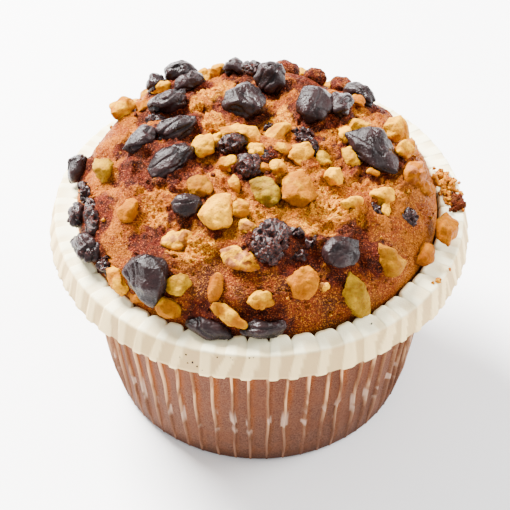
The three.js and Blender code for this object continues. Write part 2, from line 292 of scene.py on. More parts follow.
def grain(tree, cloud_scale, grain_scale):
    sockets = {"Cloud Scale": cloud_scale, "Grain Scale": grain_scale}
    node = add_node(tree, "ShaderNodeGroup", sockets, node_tree=GRAIN)
    return node.outputs["Cloud"], node.outputs["Grain"]


def new_material(name):
    material = bpy.data.materials.new(name)
    material.use_nodes = True
    tree = material.node_tree
    return material, tree, tree.nodes["Principled BSDF"]


def split_tone(tree, name):
    """A vertex colour attribute's red, green and blue, each its own value, and its alpha."""
    tone = add_node(tree, "ShaderNodeAttribute", attribute_name=name)
    parts = add_node(tree, "ShaderNodeSeparateColor", {"Color": tone.outputs["Color"]})
    return [*parts.outputs, tone.outputs["Alpha"]]


def bumped(tree, shader, height, distance, strength=1.0):
    bump = add_node(tree, "ShaderNodeBump", {"Height": height, "Distance": distance, "Strength": strength})
    tree.links.new(bump.outputs["Normal"], shader.inputs["Normal"])


def paper_material():
    """Cream greaseproof paper, brown and mottled where the cake's fat has soaked it."""
    material, tree, shader = new_material("greaseproof_paper")
    # The first value says how far the nearest ridge is on the wall, and on the collar how far past the fold,
    # where the skirt's painted shade begins.
    from_ridge, across, grease, layer = split_tone(tree, "case_tone")
    skirt_shade = from_ridge
    place = add_node(tree, "ShaderNodeTexCoord").outputs["Object"]
    height = add_node(tree, "ShaderNodeSeparateXYZ", {"Vector": place}).outputs["Z"]
    cloud, fine = grain(tree, 170.0, 3100.0)
    stretched = add_node(tree, "ShaderNodeMapping", {"Vector": place, "Scale": (1.0, 1.0, 0.25)}).outputs[0]
    streak = add_node(tree, "ShaderNodeTexNoise", {"Vector": stretched, "Scale": 330.0, "Detail": 3.0})
    streak = ranged(tree, streak.outputs["Fac"], 0.38, 0.62)
    patch = add_node(tree, "ShaderNodeTexNoise", {"Vector": place, "Scale": 210.0, "Detail": 1.0})
    patch = patch.outputs["Fac"]

    # Wet orange on both sides of the ridges, where paper lies on cake, and duller brown between them
    after_ridge = ranged(tree, across, 0.5, 0.12)
    before_ridge = ranged(tree, across, 0.84, 0.97, 0.0, 0.7)
    by_ridge = maths(tree, "MAXIMUM", after_ridge, before_ridge)
    by_ridge = maths(tree, "MULTIPLY", by_ridge, ranged(tree, streak, 0.0, 0.8, 0.45, 1.0))
    upper = mixed(tree, by_ridge, rgb(90, 56, 41), rgb(118, 58, 12))
    lower = mixed(tree, by_ridge, rgb(90, 61, 48), rgb(98, 60, 38))
    soaked = mixed(tree, ranged(tree, height, 0.006, 0.026), lower, upper)
    soaked = mixed(tree, ranged(tree, fine, 0.5, 0.95, 0.0, 0.5), soaked, rgb(118, 78, 60))
    soaked = mixed(tree, ranged(tree, fine, 0.4, 0.1, 0.0, 0.5), soaked, rgb(54, 26, 18))
    soaked = mixed(tree, ranged(tree, cloud, 0.3, 0.8, 0.0, 0.3), soaked, rgb(104, 60, 38))
    # Darker in the last five millimetres above the table: painted shade at the foot of the wall.
    soaked = mixed(tree, ranged(tree, height, 0.0, 0.005, 0.7, 0.0), soaked, rgb(44, 26, 19))

    # The creases are paler, most of all at the top: partly dry paper, partly a painted highlight where the
    # ridges catch the light. A few spots beside them have stayed pale.
    crest = maths(tree, "MULTIPLY", ranged(tree, from_ridge, 0.17, 0.03),
                  ranged(tree, streak, 0.1, 0.8, 0.2, 1.0))
    crest_dry_and_highlight = mixed(tree, ranged(tree, height, 0.004, 0.034), rgb(124, 88, 68), rgb(226, 176, 126))
    wall = mixed(tree, crest, soaked, crest_dry_and_highlight)
    spot = maths(tree, "MULTIPLY", ranged(tree, height, 0.009, 0.012), ranged(tree, height, 0.018, 0.0145))
    spot = maths(tree, "MULTIPLY", spot, ranged(tree, from_ridge, 0.5, 0.2))
    top_spot = maths(tree, "MULTIPLY", ranged(tree, height, 0.031, 0.036),
                     ranged(tree, from_ridge, 0.42, 0.15))
    spot = maths(tree, "MULTIPLY", maths(tree, "ADD", spot, top_spot), ranged(tree, patch, 0.52, 0.6))
    wall = mixed(tree, maths(tree, "MULTIPLY", spot, 0.7), wall, rgb(186, 156, 134))

    # The flange is painted lighter than the skirt: painted light on the upturned flange and painted shade on
    # the hanging skirt. On both, the lapped double layers are paler.
    flange = mixed(tree, layer, rgb(232, 214, 166), rgb(254, 246, 206))
    skirt = mixed(tree, layer, rgb(188, 158, 112), rgb(234, 206, 150))
    dry = mixed(tree, skirt_shade, flange, skirt)
    dry = mixed(tree, maths(tree, "MULTIPLY", cloud, 0.14), dry, rgb(230, 202, 130))
    colour = mixed(tree, grease, dry, wall)
    tree.links.new(colour, shader.inputs["Base Color"])
    shader.inputs["Roughness"].default_value = 0.6
    shader.inputs["Specular IOR Level"].default_value = 0.04
    bumped(tree, shader, fine, 0.00006, 0.5)
    return material


def finished(name, mesh_maker, material):
    """Turns a bmesh into a piece of the muffin at the origin."""
    mesh = bpy.data.meshes.new(name)
    mesh_maker.to_mesh(mesh)
    mesh_maker.free()
    mesh.materials.append(material)
    mesh.shade_smooth()
    piece = bpy.data.objects.new(name, mesh)
    bpy.context.scene.collection.objects.link(piece)
    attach(piece, "root")
    return piece


case = finished("pleated_paper_case", paper_case(), paper_material())
wall = case.modifiers.new("paper_thickness", "SOLIDIFY")
wall.thickness = PAPER * MM
wall.offset = 0.0
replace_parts(case, "paper_case")


# The cake
# Batter with berries in it, baked in the case: a smooth, fine-grained side and a craggy golden
# top, pale yellow crumb where it has torn, and dark red stains where juice has boiled out.

DOME_RADIUS = 35.2
DOME_HEIGHT = 15.8
DOME_POWER = 2.4
DOME_BASE = 41.8
DOME_SHIFT_X = -0.5

berry_nodes = sorted(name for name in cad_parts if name.startswith("berry_"))
nut_nodes = sorted(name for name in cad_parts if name.startswith("nut_"))


def crust_relief(x, y):
    lumps = 0.8 * math.sin(x / 3.9 + 0.7) * math.sin(y / 4.3 + 1.9)
    crags = 0.6 * math.sin(x / 2.6 - y / 2.1 + 0.5) * math.sin(x / 2.9 + y / 3.3)
    cracks = -1.0 * max(0, math.sin(x / 5.2 + y / 8.5 + 1.2 * math.sin(y / 4)) - 0.7) / 0.3
    return lumps + crags + cracks


def on_crust(azimuth, slope):
    """A point of the crust and its outward normal, in millimetres, from two angles in degrees."""
    turn = math.radians(azimuth)
    across = math.sin(math.radians(slope)) ** (2 / DOME_POWER)
    rise = max(math.cos(math.radians(slope)), 0) ** (2 / DOME_POWER)
    outward = Vector((math.cos(turn), math.sin(turn), 0))
    point = outward * DOME_RADIUS * across + Vector((0, 0, DOME_BASE + DOME_HEIGHT * rise))
    normal = outward * (across ** (DOME_POWER - 1) / DOME_RADIUS)
    normal.z = rise ** (DOME_POWER - 1) / DOME_HEIGHT
    normal.normalize()
    fade = 1 - smooth_step(62, 86, slope)
    point += normal * fade * crust_relief(point.x, point.y)
    point.x += DOME_SHIFT_X
    return point, normal


# Dark stains of juice: azimuth, distance from the middle, spread, how dark
STAINS = [
    (-170, 23.1, 5.5, 0.9), (172, 27.1, 2.5, 0.8), (-161, 32.6, 2.3, 0.8), (39, 29.5, 2.9, 0.9),
    (72, 21.7, 2.7, 0.7), (48, 28.0, 2.9, 0.8), (34, 17.2, 2.9, 0.9), (17, 10.1, 2.9, 0.95),
    (-48, 31.4, 3.4, 0.95), (-62, 31.6, 2.5, 0.7), (-51, 27.4, 4.2, 0.8), (-74, 26.7, 4.6, 1.0),
    (-80, 28.8, 2.1, 0.8), (-135, 29.3, 4.2, 0.95), (-31, 25.8, 1.5, 1.0), (-23, 31.0, 1.7, 0.8),
    (-138, 21.6, 1.9, 0.8), (-119, 21.5, 1.5, 0.6), (-56, 3.8, 1.7, 0.8), (-147, 7.2, 1.9, 0.6),
    (-157, 10.6, 1.9, 0.7), (179, 20.4, 2.1, 0.8), (137, 16.5, 2.5, 0.8), (149, 26.7, 2.3, 0.8),
    (-111, 22.8, 1.3, 0.7), (-88, 34.4, 2.5, 0.6), (-100, 34.7, 2.1, 0.5), (-95, 23.2, 1.7, 0.7),
    (-125, 24.0, 1.5, 0.6), (44, 11.7, 2.1, 0.7), (-92, 8.1, 1.3, 0.6), (160, 18.9, 1.7, 0.6),
    (101, 27.1, 2.1, 0.5), (-40, 31.2, 1.7, 0.5), (120, 33.0, 4.0, 0.6), (75, 34.0, 4.0, 0.6),
    (68, 27.0, 4.5, 0.9), (55, 31.0, 4.0, 0.85), (84, 30.0, 3.2, 0.8),
]

# Crumb torn open, paler and yellower than the crust: the same four values
CRUMB = [
    (112, 18.2, 4.6, 1.0), (67, 11.4, 3.2, 1.0), (-118, 26.9, 2.7, 0.9), (-126, 27.7, 1.7, 0.8),
    (-95, 19.4, 2.3, 0.8), (-48, 19.9, 3.8, 0.8), (-66, 21.7, 2.3, 0.8), (145, 9.8, 1.9, 0.8),
    (-112, 26.3, 2.3, 0.8), (-78, 16.1, 1.7, 0.7), (-45, 23.2, 1.9, 0.6), (-134, 23.0, 2.1, 0.5),
    (-104, 16.0, 1.9, 0.8), (-87, 17.9, 1.7, 0.7), (-11, 19.0, 1.7, 0.5), (-17, 12.1, 1.7, 0.5),
    (-144, 24.6, 1.7, 0.4), (-133, 15.6, 1.7, 0.6), (-163, 15.2, 1.5, 0.4), (-67, 24.6, 1.1, 0.6),
    (-19, 27.6, 1.3, 0.4), (-119, 4.6, 1.3, 0.6), (58, 15.8, 1.3, 0.5), (90, 30.0, 4.0, 0.7),
]
JUICE_SPREAD = 1.3
JUICE_STRENGTH = 0.8

# The finer relief over the dome's own shape, in millimetres
COARSE_DEPTH = 0.4
MEDIUM_DEPTH = 0.42
FINE_DEPTH = 0.26
LEDGE_DEPTH = 0.9
CRUMB_DEPTH = 1.3
TOPPING_RIM = 0.35
STAIN_DEPTH = 0.3
PIT_DEPTH = 0.6

CAKE_CUTS = 124
DOME_END = math.radians(155)
CAKE_BOTTOM = 0.7


def placed(rows):
    """The patches as a point over the crust, a spread and a strength each."""
    patches = []
    for azimuth, distance, spread, strength in rows:
        turn = math.radians(azimuth)
        share = min(distance / DOME_RADIUS, 1.0)
        height = DOME_BASE + DOME_HEIGHT * (1 - share ** DOME_POWER) ** (1 / DOME_POWER)
        centre = Vector((distance * math.cos(turn), distance * math.sin(turn), height))
        patches.append((centre, spread, strength))
    return patches


def juice_round_berries():
    patches = []
    for node in berry_nodes:
        low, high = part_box(node)
        reach = max(high.x - low.x, high.y - low.y) / 2 / MM
        patches.append(((low + high) / 2 / MM, reach + JUICE_SPREAD, JUICE_STRENGTH))
    return patches


def patch_strength(point, patches):
    """The strongest of the patches at a point of the crust, with ragged edges."""
    ragged = noise.noise(point / 1.9) * 0.8 + noise.noise(point / 0.8) * 0.4
    best = 0.0
    for centre, spread, strength in patches:
        distance = (point - centre).length
        if distance < spread * 2:
            best = max(best, strength * (1 - smooth_step(0.7, 1.3, distance / spread + 0.45 * ragged)))
    return best


def topping_points():
    """Points spread over the large berries and nuts, for how near the crust lies to them."""
    points = []
    for node in berry_nodes + nut_nodes:
        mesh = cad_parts[node].data
        for face in mesh.polygons:
            corners = [mesh.vertices[index].co for index in face.vertices]
            points += corners + [face.center]
            points += [(face.center + corner) / 2 for corner in corners]
    tree = kdtree.KDTree(len(points))
    for index, point in enumerate(points):
        tree.insert(point, index)
    tree.balance()
    return tree


def cake():
    shell = bmesh.new()
    bmesh.ops.create_cube(shell, size=2.0)
    bmesh.ops.subdivide_edges(shell, edges=shell.edges, cuts=CAKE_CUTS, use_grid_fill=True)
    tone = shell.verts.layers.float_color.new("crust_tone")
    stains = placed(STAINS) + juice_round_berries()
    crumbs = placed(CRUMB)
    toppings = topping_points()

    # The side below the dome, as radius and height, and the tilt at which each stretch ends
    side = [(DOME_RADIUS, DOME_BASE), (34.3, WALL_TOP_HEIGHT), (28.9, CAKE_BOTTOM), (0.0, CAKE_BOTTOM)]
    side_ends = [DOME_END, DOME_END + 0.06, DOME_END + 0.16, math.pi]
    for corner in shell.verts:
        even = Vector([math.tan(part * math.pi / 4) for part in corner.co]).normalized()
        tilt = math.acos(min(max(even.z, -1), 1))
        turn = math.atan2(even.y, even.x)
        if tilt > DOME_END:
            stretch = 0 if tilt <= side_ends[1] else 1 if tilt <= side_ends[2] else 2
            share = (tilt - side_ends[stretch]) / (side_ends[stretch + 1] - side_ends[stretch])
            radius = between(side[stretch][0], side[stretch + 1][0], share)
            height = between(side[stretch][1], side[stretch + 1][1], share)
            shift = DOME_SHIFT_X * smooth_step(WALL_TOP_HEIGHT, DOME_BASE, height)
            corner.co = Vector((radius * math.cos(turn) + shift, radius * math.sin(turn), height)) * MM
            corner[tone] = (0, 0.7, 0, 1)
            continue
        share = math.sin(tilt / 2) / math.sin(DOME_END / 2)
        slope = 90 * share ** 1.3
        point, normal = on_crust(math.degrees(turn), slope)

        # The top is torn and craggy, the side below the brow is smooth, with a ragged border.
        border = slope + 14 * noise.noise(point / 7) + 6 * noise.noise(point / 2.5)
        smooth_side = smooth_step(40, 58, border)
        rough = 1 - 0.85 * smooth_side
        # Crust beside the large berries and nuts rises and turns juice red: partly a caramelised rim, partly
        # painted contact shade.
        near = 1 - smooth_step(0.4, 1.7, toppings.find(point * MM)[2] / MM)
        stain_and_contact_shade = max(patch_strength(point, stains), 0.35 * near)
        crumb = patch_strength(point, crumbs) * (1 - stain_and_contact_shade)
        coarse = noise.noise(point / 2.6 + Vector((9, 2, 5)))
        medium = abs(noise.noise(point / 1.25)) * 2 - 0.6
        fine = noise.noise(point / 0.55)
        torn = noise.noise(point / 4.5 + Vector((1, 7, 3)))
        pit = noise.noise(point / 0.9 + Vector((4, 4, 4)))
        lift = rough * (COARSE_DEPTH * coarse + MEDIUM_DEPTH * medium + FINE_DEPTH * fine) + 0.06 * fine
        lift += LEDGE_DEPTH * rough * (smooth_step(-0.04, 0.06, torn) - 0.5)
        lift += crumb * (CRUMB_DEPTH * abs(noise.noise(point / 0.95 + Vector((2, 8, 1)))) - 0.35)
        lift += TOPPING_RIM * near - STAIN_DEPTH * stain_and_contact_shade * (1 - near)
        if pit > 0.4:
            lift -= PIT_DEPTH * (pit - 0.4) / 0.3
        hollow = 1 - smooth_step(-0.55, 0.1, lift)
        fade = 1 - smooth_step(84, 90, slope)
        corner.co = (point + normal * lift * fade) * MM

        # Darker on the front, partly browner crust and partly painted shade; lighter on the left, painted
        # light where the window falls.
        front = max(0, -math.sin(turn)) ** 2
        left = max(0, -math.cos(turn)) ** 2
        baked_and_painted_shade = smooth_side * (0.1 + 0.85 * front) + 0.4 * smooth_step(-0.3, 0.5, noise.noise(point / 6))
        baked_and_painted_shade = max(baked_and_painted_shade - 0.35 * left * smooth_side, 0)
        corner[tone] = (stain_and_contact_shade, baked_and_painted_shade, min(1, crumb + 0.45 * hollow * rough * (1 - stain_and_contact_shade)), smooth_side)
    bmesh.ops.recalc_face_normals(shell, faces=shell.faces)
    return shell


def crust_material():
    """Golden brown crust with a fine glittering grain, yellow crumb, and dark juicy stains.

    The front is darker, partly browning and partly painted shade, the crust by the toppings
    partly caramelised and partly painted shade, and the left is painted lighter as light.
    """
    material, tree, shader = new_material("baked_crust")
    stain_and_contact_shade, baked_and_painted_shade, crumb, _ = split_tone(tree, "crust_tone")
    cloud, fine = grain(tree, 230.0, 2300.0)
    speck_cloud, speck = grain(tree, 600.0, 3700.0)

    # The second tone darkens the crust: real browning, plus painted shade on the front and painted light on
    # the left.
    crust = mixed(tree, baked_and_painted_shade, rgb(152, 80, 3), rgb(66, 27, 11))
    crust = mixed(tree, ranged(tree, cloud, 0.35, 0.75, 0.0, 0.75), crust, rgb(108, 40, 8))
    crust = mixed(tree, ranged(tree, fine, 0.4, 0.1, 0.0, 0.65), crust, rgb(54, 18, 6))
    crust = mixed(tree, ranged(tree, speck, 0.62, 0.95, 0.0, 0.6), crust, rgb(206, 122, 26))
    pale = mixed(tree, speck_cloud, rgb(206, 124, 5), rgb(152, 68, 3))
    pale = mixed(tree, ranged(tree, fine, 0.45, 0.1, 0.0, 0.8), pale, rgb(88, 28, 3))
    pale = mixed(tree, ranged(tree, speck, 0.6, 0.9, 0.0, 0.8), pale, rgb(246, 186, 34))
    colour = mixed(tree, crumb, crust, pale)
    # The juice colour covers the stains and, more lightly, the painted contact shade beside the toppings.
    juice = mixed(tree, speck_cloud, rgb(30, 7, 5), rgb(74, 17, 4))
    juice = mixed(tree, ranged(tree, speck, 0.72, 0.95, 0.0, 0.6), juice, rgb(176, 84, 44))
    colour = mixed(tree, ranged(tree, stain_and_contact_shade, 0.15, 0.7, 0.0, 0.95), colour, juice)
    tree.links.new(colour, shader.inputs["Base Color"])
    tree.links.new(ranged(tree, speck, 0.5, 0.9, 0.6, 0.34), shader.inputs["Roughness"])
    shader.inputs["Specular IOR Level"].default_value = 0.06
    height = maths(tree, "ADD", fine, maths(tree, "MULTIPLY", speck, 0.5))
    bumped(tree, shader, height, 0.00026, 0.9)
    return material


CRUST = crust_material()
crust = finished("cake_and_crust", cake(), CRUST)
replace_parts(crust, "cake")


# The berries
# Small dark fruit, dried until its skin has sunk into folds, pressed into the batter and baked:
# near black with a soft gloss on the crests, redder and duller where crumb has stuck to it.

# How much crumb sticks to some of the berries, and how far they have burst open
CRUMBLY = {
    "berry_14": 0.75, "berry_15": 0.7, "berry_18": 0.35, "berry_19": 0.25, "berry_21": 0.75, "berry_24": 0.2,
    "berry_25": 0.35, "berry_27": 0.7,
}
USUALLY_CRUMBLY = 0.08

BERRY_VOXEL = 0.24
FOLD_DEPTH = 0.4
BURST_DEPTH = 0.9

# How deep the folds are on the plumper berries, against 1 on the others
FOLDS = {"berry_20": 0.3, "berry_22": 0.4, "berry_10": 0.5, "berry_13": 0.6, "berry_16": 0.6, "berry_09": 0.8}


def dressed_copy(node, voxel):
    """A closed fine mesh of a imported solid, evenly divided, in metres."""
    merged = bmesh.new()
    merged.from_mesh(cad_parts[node].data)
    bmesh.ops.remove_doubles(merged, verts=merged.verts, dist=1e-6)
    mesh = bpy.data.meshes.new("coarse")
    merged.to_mesh(mesh)
    merged.free()
    holder = bpy.data.objects.new("holder", mesh)
    bpy.context.scene.collection.objects.link(holder)
    even = holder.modifiers.new("even", "REMESH")
    even.mode = "VOXEL"
    even.voxel_size = voxel
    shown = holder.evaluated_get(bpy.context.evaluated_depsgraph_get())
    fine = bmesh.new()
    fine.from_mesh(shown.to_mesh())
    bpy.data.objects.remove(holder)
    bpy.data.meshes.remove(mesh)
    return fine


def softened(body, times, factor=0.5):
    for _ in range(times):
        bmesh.ops.smooth_vert(body, verts=body.verts, factor=factor,
                              use_axis_x=True, use_axis_y=True, use_axis_z=True)


def berry(node, seed):
    body = dressed_copy(node, BERRY_VOXEL * MM)
    softened(body, 3)
    body.normal_update()
    tone = body.verts.layers.float_color.new("berry_tone")
    crumbly = CRUMBLY.get(node, USUALLY_CRUMBLY)
    folds = FOLDS.get(node, 1.0)
    offset = Vector((seed * 3.3, seed * 1.7, 0))
    middle = sum((corner.co for corner in body.verts), Vector()) / len(body.verts)
    far = max(body.verts, key=lambda corner: (corner.co - middle).length)
    long = (far.co - middle).normalized()
    moves = []
    for corner in body.verts:
        point = corner.co / MM
        drawn = point - long * (point - middle / MM).dot(long) * 0.75
        groove = folds * (1 - smooth_step(0.0, 0.16, abs(noise.noise(drawn / 2.0 + offset))))
        broad = noise.noise(point / 2.6 + offset)
        wrinkle = abs(noise.noise(drawn / 0.75 + offset * 2))
        grit = 0.4 - 1.6 * abs(noise.noise(point / 0.75)) + 0.5 * noise.noise(point / 0.35)
        burst = smooth_step(0.15, 0.45, noise.noise(point / 1.1 + offset)) * crumbly
        lift = 0.1 + 0.45 * broad - FOLD_DEPTH * groove + 0.12 * folds * wrinkle
        lift = lift + crumbly * 0.4 * grit - BURST_DEPTH * burst
        # The crests are painted lighter and the folds darker: painted highlight and painted shade.
        crest = min(max(0.5 + 0.9 * broad - 0.5 * groove, 0), 1)
        stuck = crumbly * 0.7 + 0.5 * noise.noise(point / 1.3 + offset) * crumbly + 0.4 * burst
        dust = smooth_step(0.1, 0.5, stuck)
        moves.append((corner, corner.normal.copy() * lift * MM, (dust, crest, 0, 1)))
    for corner, move, shade in moves:
        corner.co += move
        corner[tone] = shade
    softened(body, 1, 0.3)
    return body


def berry_material():
    """Near-black wrinkled skin with a painted highlight on its crests and painted shade in its folds,
    red-brown where crumb sticks to it.
    """
    material, tree, shader = new_material("dried_berry_skin")
    dust, crest, _, _ = split_tone(tree, "berry_tone")
    cloud, fine = grain(tree, 500.0, 2600.0)
    skin = mixed(tree, crest, rgb(12, 5, 5), rgb(44, 27, 27))
    skin = mixed(tree, maths(tree, "MULTIPLY", cloud, 0.5), skin, rgb(24, 10, 10))
    crumb = mixed(tree, ranged(tree, fine, 0.4, 0.9), rgb(18, 7, 7), rgb(80, 36, 26))
    colour = mixed(tree, maths(tree, "MULTIPLY", dust, 0.75), skin, crumb)
    tree.links.new(colour, shader.inputs["Base Color"])
    tree.links.new(ranged(tree, cloud, 0.0, 1.0, 0.14, 0.4), shader.inputs["Roughness"])
    shader.inputs["Specular IOR Level"].default_value = 0.17
    bumped(tree, shader, maths(tree, "ADD", fine, cloud), 0.0001, 0.6)
    return material


BERRY_SKIN = berry_material()
for index, node in enumerate(berry_nodes):
    fruit = finished(node.replace("berry_", "dried_berry_"), berry(node, index + 1), BERRY_SKIN)
    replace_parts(fruit, node)


# The nuts
# Hazelnuts and a few green pistachios, chopped to pieces of half a kernel and less and toasted
# in the oven: pale yellow on the broken faces, tan to orange where the heat caught them, and
# painted darker as shade on their undersides and in the grooves of the break.

NUT_VOXEL = 0.26
BREAK_DEPTH = 0.7

# How toasted, how green and how flaky with skin each large nut is, from 0 to 1
NUT_TONES = {
    "nut_01": (0.12, 0.1, 0), "nut_02": (0.35, 0, 0.1), "nut_03": (0.3, 0, 0), "nut_04": (0.35, 0.4, 0),
    "nut_05": (0.7, 0.1, 0), "nut_06": (0.3, 0.9, 0.2), "nut_07": (0.78, 0.35, 0), "nut_08": (0.08, 0, 0.1),
    "nut_09": (0.3, 0.05, 0), "nut_10": (0.5, 0, 0), "nut_11": (0.85, 0, 0.6), "nut_12": (0.5, 0, 0),
    "nut_13": (0.65, 0, 0), "nut_14": (0.3, 0, 0.9), "nut_15": (0.65, 0, 0), "nut_16": (0.35, 0, 0),
    "nut_17": (0.35, 0.75, 0), "nut_18": (0.75, 0.35, 0), "nut_19": (0.3, 0.05, 0), "nut_20": (0.75, 0, 0),
    "nut_21": (0.4, 0, 0), "nut_22": (0.3, 0.6, 0), "nut_23": (0.6, 0, 0.3), "nut_24": (0.3, 0.1, 0),
}


def broken_nut(corners, seed, toasted, green, flaky, tone):
    """Gives a chopped nut's faces an uneven break with ledges, and marks its tones."""
    offset = Vector((seed * 2.1, 5, seed * 4.7))
    moves = []
    for corner in corners:
        point = corner.co / MM
        cells = noise.voronoi(point / 2.3 + offset)[0]
        ledge = min(cells[1] - cells[0], 0.35) - 0.2
        uneven = 0.22 * noise.noise(point / 1.9 + offset)
        lift = uneven + BREAK_DEPTH * ledge + 0.1 * noise.noise(point / 0.8 + offset)
        # Toasting varies at random; downward faces and the grooves of the break are painted darker as shade.
        toast_and_shade = toasted + 0.5 * noise.noise(point / 2.6 - offset) - 0.15 * corner.normal.z - 0.5 * ledge
        moves.append((corner, corner.normal.copy() * lift * MM, (min(max(toast_and_shade, 0), 1), green, flaky, 1)))
    for corner, move, shade in moves:
        corner.co += move
        corner[tone] = shade


def nut(node, seed):
    body = dressed_copy(node, NUT_VOXEL * MM)
    softened(body, 2)
    body.normal_update()
    broken_nut(body.verts, seed, *NUT_TONES[node], body.verts.layers.float_color.new("nut_tone"))
    softened(body, 1, 0.3)
    return body


def nut_material():
    """Oily nut flesh with fine pores and flakes of papery skin."""
    material, tree, shader = new_material("toasted_nut")
    toast_and_shade, green, flaky, _ = split_tone(tree, "nut_tone")
    cloud, fine = grain(tree, 420.0, 2100.0)
    flake, _ = grain(tree, 520.0, 900.0)
    # Pale to toasted flesh: real toasting, with painted shade on the undersides and in the grooves.
    flesh = mixed(tree, ranged(tree, toast_and_shade, 0.1, 0.55), rgb(214, 152, 2), rgb(148, 86, 1))
    flesh = mixed(tree, ranged(tree, toast_and_shade, 0.55, 1.0), flesh, rgb(122, 62, 1))
    flesh = mixed(tree, maths(tree, "MULTIPLY", cloud, 0.45), flesh, rgb(140, 74, 2))
    leafy = mixed(tree, cloud, rgb(128, 104, 20), rgb(84, 66, 10))
    colour = mixed(tree, green, flesh, leafy)
    skin = mixed(tree, cloud, rgb(166, 104, 66), rgb(84, 32, 16))
    flakes = maths(tree, "MULTIPLY", flaky, ranged(tree, flake, 0.4, 0.6))
    colour = mixed(tree, flakes, colour, skin)
    colour = mixed(tree, ranged(tree, fine, 0.4, 0.05, 0.0, 0.4), colour, rgb(106, 56, 4))
    tree.links.new(colour, shader.inputs["Base Color"])
    shader.inputs["Roughness"].default_value = 0.42
    shader.inputs["Specular IOR Level"].default_value = 0.02
    bumped(tree, shader, maths(tree, "ADD", fine, cloud), 0.00014, 0.7)
    return material


NUT_FLESH = nut_material()
for index, node in enumerate(nut_nodes):
    kernel = finished(node.replace("nut_", "chopped_nut_"), nut(node, index + 1), NUT_FLESH)
    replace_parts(kernel, node)


# The small bits on the crust
# Splinters of the same nuts, specks of berry and baked-on lumps of crumb, strewn with the large
# pieces and stuck fast. Each row is one bit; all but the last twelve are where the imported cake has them.

# Azimuth and slope angle on the dome, length, width, height, direction of the long side, kind
SMALL_BITS = [
    (141, 52, 3.6, 2.8, 2.6, 60, "toasted"), (130, 53, 4.4, 3.0, 2.8, -20, "pale"),
    (104, 62, 3.4, 3.0, 3.2, 0, "pale"), (109, 66, 3.0, 2.8, 3.2, 0, "pale"),
    (134, 24, 3.4, 2.8, 2.6, 74, "crumb"), (-136, 9, 4.2, 3.2, 3.0, 74, "tan"),
    (-112, 15, 4.2, 2.4, 2.6, 101, "yellow"), (-88, 2, 4.0, 2.8, 2.6, -25, "pale"),
    (-20, 6, 3.4, 2.8, 2.6, 3, "tan"), (39, 6, 5.8, 3.2, 3.0, 39, "yellow"),
    (-61, 10, 3.8, 2.8, 2.6, -64, "yellow"), (-9, 17, 5.0, 2.8, 2.8, -62, "green"),
    (-29, 24, 4.8, 3.8, 3.4, 71, "pale"), (21, 32, 5.0, 2.8, 2.8, 6, "yellow"),
    (16, 26, 3.8, 2.6, 2.6, 98, "pale"), (-23, 44, 5.2, 3.4, 3.2, 9, "pale"),
    (-40, 36, 4.4, 2.6, 2.4, 18, "pale"), (-100, 25, 3.6, 3.4, 3.2, 0, "tan"),
    (-116, 65, 4.4, 4.2, 3.2, 15, "green"), (-104, 62, 5.2, 3.0, 2.8, 78, "toasted"),
    (-117, 81, 5.6, 3.6, 3.4, -53, "tan"), (-98, 76, 7.0, 3.0, 2.8, -38, "tan"),
    (-125, 44, 5.6, 3.8, 2.6, 12, "flaky"), (-94, 32, 4.0, 3.0, 2.2, -27, "flaky"),
    (166, 9, 3.4, 2.8, 2.6, 60, "pale"), (24, 12, 4.0, 3.4, 2.8, 9, "berry"),
    (4, 13, 4.0, 2.6, 2.4, -41, "berry"), (-176, 71, 5.4, 3.2, 3.4, -76, "berry"),
    (150, 38, 3.6, 3.2, 3.0, 14, "berry"), (-22, 61, 3.6, 2.8, 2.4, -19, "berry"),
    (-7, 63, 5.0, 2.8, 2.6, 15, "toasted"), (-144, 80, 4.8, 3.0, 3.0, -42, "berry"),
    (-178, 53, 6.4, 3.8, 3.6, 85, "green"), (-27, 84, 4.8, 4.0, 3.4, 65, "toasted"),
    (141, 14, 5.2, 4.0, 2.6, 83, "crumb"), (40, 43, 3.4, 2.6, 2.6, -60, "toasted"),
    (79, 57, 5.4, 4.2, 3.6, 10, "glazed"), (67, 56, 5.0, 4.4, 3.4, 60, "glazed"),
    (57, 60, 4.6, 4.0, 3.4, -40, "glazed"),
    (-77, 9, 2.3, 1.9, 1.5, 1, "toasted"), (-28, 48, 3.3, 1.5, 1.2, 89, "pale"),
    (-68, 65, 2.1, 1.8, 1.5, 6, "flaky"), (-31, 44, 2.5, 1.9, 1.3, -53, "berry"),
    (-59, 4, 3.0, 1.7, 1.3, 1, "berry"), (69, 8, 2.3, 1.5, 1.2, -91, "berry"),
    (-71, 36, 2.8, 1.8, 1.2, 5, "berry"), (-67, 42, 2.4, 1.5, 1.2, 65, "berry"),
    (-73, 47, 2.6, 1.6, 1.2, 16, "berry"), (-129, 85, 3.5, 1.9, 1.5, -47, "toasted"),
    (-13, 36, 2.5, 1.5, 1.2, 19, "tan"), (7, 82, 3.0, 1.6, 1.4, -20, "toasted"),
]
FAR_SIDE_FROM = 58
FAR_SIDE_STEP = 22
for i in range(4):
    azimuth = FAR_SIDE_FROM + i * FAR_SIDE_STEP
    SMALL_BITS.append((azimuth + 5, 74, 4.2, 3.2, 3.0, azimuth + 90, "tan"))
    SMALL_BITS.append((azimuth + 16, 74 - 4 * (i % 2), 4.2, 3.2, 3.0, azimuth + 30 * i, "pale"))
SUNK = 0.3
HALF_SIZE = 0.55
GLAZED_PUSH = 0.35

# Each kind's tones: toasted, green and flaky
KINDS = {
    "pale": (0.12, 0, 0), "yellow": (0.28, 0.05, 0), "tan": (0.48, 0.1, 0), "toasted": (0.8, 0, 0.1),
    "green": (0.3, 0.65, 0), "flaky": (0.2, 0, 0.8),
}


